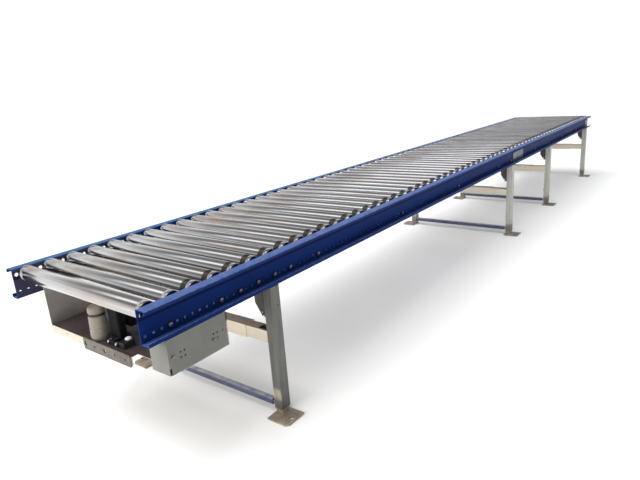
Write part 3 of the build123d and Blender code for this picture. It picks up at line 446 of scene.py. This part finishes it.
def softened(node, material, width):
    """The CAD node's shape with its long sharp edges rounded over by width, in millimetres."""
    bm = bmesh.new()
    bm.from_mesh(frame["nodes"][node].data)
    bmesh.ops.remove_doubles(bm, verts=bm.verts, dist=WELD)
    bmesh.ops.dissolve_limit(bm, angle_limit=FLAT_ANGLE, verts=bm.verts, edges=bm.edges)
    sharp = [e for e in bm.edges if len(e.link_faces) == 2 and e.calc_length() > SHORTEST_ROUNDED * width * MM
             and e.calc_face_angle() > EDGE_ANGLE]
    bmesh.ops.bevel(bm, geom=sharp, offset=width * MM, offset_type="OFFSET", segments=2, profile=0.6,
                    affect="EDGES", clamp_overlap=True)
    make_piece(node + "_shape", bm, [material], "frame", (node,))


def finish_node(node, material):
    """Give a kept CAD node its material."""
    mesh = frame["nodes"][node].data
    mesh.materials.clear()
    mesh.materials.append(MATERIALS[material])


# -------------------------------------------------------------------------------- rollers
TUBE_WALL = 1.5 * MM
RING_OFFSETS = (13 * MM, 17 * MM)
RING_WIDTH, RING_DEPTH = 1.6 * MM, 0.6 * MM
ROLL_IN = 1.4 * MM              # radius of the tube's turned-in ends
CAP_DEPTH = 12 * MM
CAP_RECESS = 2 * MM


def tube_outline():
    """Closed section of the tube: turned-in ends and two crimped rings near each end."""
    low, high = TUBE_Y
    points = list(arc((ROLLER_RADIUS - ROLL_IN, low + ROLL_IN), ROLL_IN, -90, 0, 4))
    middles = [low + d + RING_WIDTH / 2 for d in RING_OFFSETS]
    middles += [high - d - RING_WIDTH / 2 for d in reversed(RING_OFFSETS)]
    for middle in middles:
        for k in range(7):
            swing = k / 6 * 2 * math.pi
            points.append((ROLLER_RADIUS - RING_DEPTH * (1 - math.cos(swing)) / 2,
                           middle + RING_WIDTH * (k / 6 - 0.5)))
    points += arc((ROLLER_RADIUS - ROLL_IN, high - ROLL_IN), ROLL_IN, 0, 90, 4)
    inner = ROLLER_RADIUS - TUBE_WALL - 0.3 * MM
    return points + [(inner, high), (inner, low)]


BEARING_BORE = 8.2 * MM
HUB_RADIUS = 12.5 * MM


def cap_outline(side):
    """Section of the black bearing housing: dished face, raised hub with rounded edge, seal groove."""
    end = TUBE_Y[0] if side < 0 else TUBE_Y[1]
    bore = ROLLER_RADIUS - TUBE_WALL - 0.4 * MM
    section = [(BEARING_BORE, -HUB_REACH + 0.6 * MM), (BEARING_BORE + 0.6 * MM, -HUB_REACH)]
    section += [(HUB_RADIUS - 1.2 * MM, -HUB_REACH), (HUB_RADIUS - 0.35 * MM, -HUB_REACH + 0.35 * MM)]
    section += [(HUB_RADIUS, -HUB_REACH + 1.2 * MM), (HUB_RADIUS, CAP_RECESS + 1 * MM)]
    section += [(HUB_RADIUS + 1.0 * MM, CAP_RECESS + 2 * MM)]
    section += [(bore - 4 * MM, CAP_RECESS + 2 * MM), (bore - 3 * MM, CAP_RECESS + 1.2 * MM)]
    section += [(bore - 2.4 * MM, CAP_RECESS - 0.2 * MM), (bore - 1 * MM, CAP_RECESS - 0.6 * MM)]
    section += [(bore, CAP_RECESS), (bore, CAP_DEPTH), (BEARING_BORE, CAP_DEPTH)]
    return [(r, end - side * depth) for r, depth in section]


def add_roller(bm, x):
    """One tube, with its cap at each end in the second material."""
    lathe(bm, tube_outline(), x, AXLE_Z)
    for side in (-1, 1):
        lathe(bm, cap_outline(side), x, AXLE_Z, segments=40, material=1)


def make_rollers():
    """Turning rollers as one piece each, and the fixed far ones as one piece together."""
    for index, node in enumerate(ROLLER_NODES):
        bm = bmesh.new()
        add_roller(bm, FIRST_ROLLER_X + index * ROLLER_PITCH)
        steel = "roller_free" if index < FREE_ROLLERS else "roller_steel"
        make_piece(node + "_shape", bm, [steel, "black_plastic"], node, (node,))
    bm = bmesh.new()
    for index in range(len(ROLLER_NODES), ROLLER_COUNT):
        add_roller(bm, FIRST_ROLLER_X + index * ROLLER_PITCH)
    make_piece("far_rollers_shape", bm, ["roller_steel", "black_plastic"], "frame",
               ("far_roller_tubes", "far_roller_caps"))


AXLE_RADIUS = 5.5 * MM
SHOULDER_RADIUS = 6.9 * MM      # the bearing's inner ring on the axle
CHAMFER = 1 * MM
AXLE_CORE = 0.2 * MM            # keeps the lathe's ends from closing on a single point


def make_axles():
    """Fixed axles with chamfered ends outside the rails."""
    bm = bmesh.new()
    reach = node_box("roller_axles")[1][1]
    outline = [(AXLE_CORE, -reach), (AXLE_RADIUS - CHAMFER, -reach), (AXLE_RADIUS, -reach + CHAMFER)]
    for low, high in ((TUBE_Y[0] - 1 * MM, TUBE_Y[0] + CAP_DEPTH),
                      (TUBE_Y[1] - CAP_DEPTH, TUBE_Y[1] + 1 * MM)):
        outline += [(AXLE_RADIUS, low), (SHOULDER_RADIUS, low), (SHOULDER_RADIUS, high), (AXLE_RADIUS, high)]
    outline += [(AXLE_RADIUS, reach - CHAMFER), (AXLE_RADIUS - CHAMFER, reach), (AXLE_CORE, reach)]
    for index in range(ROLLER_COUNT):
        lathe(bm, outline, FIRST_ROLLER_X + index * ROLLER_PITCH, AXLE_Z, segments=24)
    make_piece("roller_axles_shape", bm, ["bright_steel"], "frame", ("roller_axles",))


# ---------------------------------------------------------------------------------- rails
SHEET = 3 * MM
LIP = 12 * MM
BEND = 2.2 * MM                 # bend radius of the sheet's middle
BOLT_ROW_Z = RAIL_Z[1] - 75 * MM
HOLE_ROWS = ((BOLT_ROW_Z, 4.5 * MM), (AXLE_Z, 6 * MM))      # height and radius of the holes
PLAIN_STRIP = (BOLT_ROW_Z + 17 * MM, AXLE_Z - 13 * MM)      # the web between the two rows
CIRCLE_STEPS = 24


def flange_line(z_web, z_top, direction):
    """Middle line of one flange in (y, z), from the web out to the lip's end; direction is +1 at the top."""
    y_web = HALF_INNER + SHEET / 2
    y_lip = HALF_OUTER - SHEET / 2
    z_flange = z_top - direction * SHEET / 2
    points = [((y_web, z_web), (1, 0))]
    for centre, start, end in (((y_web + BEND, z_flange - direction * BEND), 180, 90),
                               ((y_lip - BEND, z_flange - direction * BEND), 90, 0)):
        for y, z in arc(centre, BEND, direction * start, direction * end, 6):
            points.append(((y, z), ((y - centre[0]) / -BEND, (z - centre[1]) / -BEND)))
    points.append(((y_lip, z_top - direction * LIP), (-1, 0)))
    return points


def join_hole(bm, corners, hole):
    """Fill between a rectangle's corners, counted from the lower left, and a hole's ring of vertices."""
    quarter = CIRCLE_STEPS // 4
    for side in range(4):
        start = side * quarter
        rim = [hole[(start + k) % CIRCLE_STEPS] for k in range(quarter + 1)]
        bm.faces.new([corners[side], corners[(side + 1) % 4]] + rim[::-1])


def make_rail(node, side):
    """Folded C-section rail with round bends and two rows of round holes through its web."""
    bm = bmesh.new()
    (start, end), _, (z_low, z_high) = node_box(node)
    columns = round((end - start) / HOLE_PITCH)
    xs = [start + k * (end - start) / columns for k in range(columns + 1)]
    web_top = z_high - SHEET / 2 - BEND
    web_low = z_low + SHEET / 2 + BEND
    levels = (web_low, *PLAIN_STRIP, web_top)

    def vertex(x, y, z):
        return bm.verts.new((x, side * y, z))

    for z_web, z_edge, direction in ((web_top, z_high, 1), (web_low, z_low, -1)):
        line = flange_line(z_web, z_edge, direction)
        skins = []
        for offset in (-SHEET / 2, SHEET / 2):
            skins.append([[vertex(x, y + offset * ny, z + offset * nz) for x in xs]
                          for (y, z), (ny, nz) in line])
        for skin in skins:
            for lower, upper in zip(skin, skin[1:]):
                for k in range(columns):
                    bm.faces.new((lower[k], lower[k + 1], upper[k + 1], upper[k]))
        for k in range(columns):
            bm.faces.new((skins[0][-1][k], skins[0][-1][k + 1], skins[1][-1][k + 1], skins[1][-1][k]))
        for j in range(len(line) - 1):
            for k in (0, columns):
                bm.faces.new((skins[0][j][k], skins[0][j + 1][k], skins[1][j + 1][k], skins[1][j][k]))

    faces_y = (HALF_INNER, HALF_INNER + SHEET)
    grids = [[[vertex(x, y, z) for x in xs] for z in levels] for y in faces_y]
    for k in range(columns):
        middle = (xs[k] + xs[k + 1]) / 2
        rims = []
        for grid, y in zip(grids, faces_y):
            bm.faces.new((grid[1][k], grid[1][k + 1], grid[2][k + 1], grid[2][k]))
            for level, (z_hole, radius) in zip((0, 2), HOLE_ROWS):
                rim = [vertex(px, y, pz) for px, pz in
                       list(arc((middle, z_hole), radius, 225, 585, CIRCLE_STEPS))[:-1]]
                corners = (grid[level][k], grid[level][k + 1], grid[level + 1][k + 1], grid[level + 1][k])
                join_hole(bm, corners, rim)
                rims.append(rim)
        for near_rim, far_rim in ((rims[0], rims[2]), (rims[1], rims[3])):
            for j in range(CIRCLE_STEPS):
                i = (j + 1) % CIRCLE_STEPS
                bm.faces.new((near_rim[j], near_rim[i], far_rim[i], far_rim[j]))
    for k in (0, columns):
        for level in range(3):
            inner, outer = ([grid[level][k], grid[level + 1][k]] for grid in grids)
            bm.faces.new(inner + outer[::-1])
    bmesh.ops.remove_doubles(bm, verts=bm.verts, dist=WELD)
    make_piece(node + "_shape", bm, ["rail_blue"], "frame", (node,))


# ------------------------------------------------------------------------------- the rest
SOFT_NODES = {
    # node: (material, rounding in mm, slot)
    "splice_plates": ("splice", 0.6, "galvanised"),
    "frame_bolts": ("zinc_bolt", 0.6, "zinc_bolt"),
    "legs": ("leg_galvanised", 0.6, "leg_galvanised"),
    "feet": ("foot_galvanised", 0.9, "foot_galvanised"),
    "leg_brackets": ("bracket_dark", 0.8, "bracket_dark"),
    "beam_sleeves": ("beam", 0.6, "galvanised"),
    "beam_inners": ("beam", 0.6, "galvanised"),
    "lower_crossbars": ("navy_paint", 0.8, "navy_paint"),
    "drive_tray": ("tray", 0.6, "galvanised"),
    "hole_plate": ("hole_plate", 0.8, "galvanised"),
    "gear_head": ("gear_black", 1.6, "gear_black"),
    "gear_base": ("gear_black", 1.0, "gear_black"),
    "bevel_gear_case": ("gear_black", 1.6, "gear_black"),
    "pipe_clamps": ("clamp_bright", 0.4, "clamp_bright"),
    "junction_block": ("black_plastic", 1.2, "black_plastic"),
    "shaft_bearings": ("bearing_cast", 1.2, "bearing_cast"),
    "belt_guides": ("guide_plastic", 1.0, "guide_plastic"),
    "guard_box": ("guard_paint", 0.6, "guard_paint"),
    "guard_cover": ("guard_paint", 0.5, "guard_paint"),
    "guard_screws": ("zinc_bolt", 0.5, "zinc_bolt"),
    "guard_grommet": ("rubber_black", 1.0, "rubber_black"),
}
KEPT_NODES = {
    "tie_rods": "bright_steel",
    "motor_housing": "motor_beige",
    "motor_collar": "motor_beige",
    "junction_cap": "white_plastic",
    "drive_shaft": "bright_steel",
    "belt_pulley": "bright_steel",
    "guard_drive_pulley": "bright_steel",
    "take_off_pulley": "bright_steel",
    "upper_snub_pulley": "bright_steel",
    "lower_snub_pulley": "bright_steel",
    "tail_pulley": "bright_steel",
    "idler_pins": "zinc_bolt",
    "roller_belt": "belt_rubber",
    "guard_belt": "belt_rubber",
}


# ------------------------------------------------------------------------- stage and light
FLOOR_REACH = 40.0
FLOOR_Z = -0.5 * MM             # just under the feet


def make_floor():
    """One wide plane under the conveyor."""
    bm = bmesh.new()
    bm.faces.new([bm.verts.new((x * FLOOR_REACH, y * FLOOR_REACH, FLOOR_Z))
                  for x, y in ((-1, -1), (1, -1), (1, 1), (-1, 1))])
    mesh = bpy.data.meshes.new("studio_floor")
    bm.to_mesh(mesh)
    bm.free()
    mesh.materials.append(floor_material())
    floor = bpy.data.objects.new("studio_floor", mesh)
    bpy.context.scene.collection.objects.link(floor)


WARM_WHITE = (1.0, 0.94, 0.84)


def area_light(name, place, target, size, power, colour=(1, 1, 1)):
    """A rectangular lamp that lights the object but isn't reflected in it."""
    data = bpy.data.lights.new(name, "AREA")
    data.shape = "RECTANGLE"
    data.size, data.size_y = size
    data.energy = power
    data.color = colour
    light = bpy.data.objects.new(name, data)
    light.location = place
    light.rotation_euler = (Vector(target) - Vector(place)).to_track_quat("-Z", "Y").to_euler()
    light.visible_glossy = False
    bpy.context.scene.collection.objects.link(light)


def make_lights():
    """Studio walls as a world gradient, two lamps and a wide soft sky."""
    world = bpy.data.worlds.new("studio")
    bpy.context.scene.world = world
    world.use_nodes = True
    tree = world.node_tree
    direction = tree.nodes.new("ShaderNodeSeparateXYZ")
    tree.links.new(tree.nodes.new("ShaderNodeTexCoord").outputs["Generated"], direction.inputs[0])

    def span(socket, low, high, to_low, to_high):
        node = tree.nodes.new("ShaderNodeMapRange")
        tree.links.new(direction.outputs[socket], node.inputs["Value"])
        for name, value in (("From Min", low), ("From Max", high), ("To Min", to_low), ("To Max", to_high)):
            node.inputs[name].default_value = value
        return node.outputs["Result"]

    def combine(operation, first, second):
        node = tree.nodes.new("ShaderNodeMath")
        node.operation = operation
        tree.links.new(first, node.inputs[0])
        tree.links.new(second, node.inputs[1])
        return node.outputs[0]

    # a wide bright strip high across the studio, which draws the bright line along each roller
    strip = combine("MULTIPLY", span("X", -0.48, -0.34, 0.0, 1.7), span("X", -0.16, -0.02, 1.0, 0.0))
    strip = combine("MULTIPLY", strip, span("Y", 0.55, 0.80, 1.0, 0.1))
    strip = combine("MULTIPLY", strip, span("Z", 0.25, 0.50, 0.0, 1.0))
    # walls that darken upwards and towards -Y
    walls = combine("MULTIPLY", span("Z", 0.18, 0.60, 1.2, 0.30), span("Y", -0.9, 0.1, 0.36, 1.0))
    background = tree.nodes["Background"]
    background.inputs["Color"].default_value = (0.98, 0.99, 1.0, 1.0)
    tree.links.new(combine("ADD", walls, strip), background.inputs["Strength"])
    area_light("overhead", (-0.6, 0.9, 4.2), (0, 0, 0.5), size=(6.5, 0.6), power=70)
    area_light("front", (-6.5, 0.6, 2.0), (-1.5, 0, 0.3), size=(3.0, 1.6), power=130, colour=WARM_WHITE)
    data = bpy.data.lights.new("sky", "SUN")
    data.energy = 1.9
    data.angle = math.radians(60)
    sky = bpy.data.objects.new("sky", data)
    sky.rotation_euler = Vector((0.45, -0.25, -1.0)).to_track_quat("-Z", "Y").to_euler()
    sky.visible_glossy = False
    bpy.context.scene.collection.objects.link(sky)
    bpy.context.scene.view_settings.view_transform = "Standard"


LENS = 30.16                    # millimetres, on a sensor 36 mm wide
SENSOR = 36.0
CAMERA_PLACE = (-3.1318, -1.3909, 1.0196)
CAMERA_ANGLES = (73.551, 4.054, -53.465)    # degrees about x, y and z


def make_camera():
    """The photographer's place: low, near the drive end, turned along the bed."""
    data = bpy.data.cameras.new("camera")
    data.lens = LENS
    data.sensor_width = SENSOR
    camera = bpy.data.objects.new("camera", data)
    camera.location = CAMERA_PLACE
    camera.rotation_euler = Euler([math.radians(angle) for angle in CAMERA_ANGLES])
    bpy.context.scene.collection.objects.link(camera)
    bpy.context.scene.camera = camera


make_camera()
make_lights()
make_floor()
make_rollers()
make_axles()
for rail_name, rail_side in (("right_rail", -1), ("left_rail", 1)):
    for section_name in ("near", "far"):
        make_rail(rail_name + "_" + section_name, rail_side)
for soft_node, (material_name, rounding, slot_name) in SOFT_NODES.items():
    softened(soft_node, material_name, rounding)
for kept_node, material_name in KEPT_NODES.items():
    finish_node(kept_node, material_name)
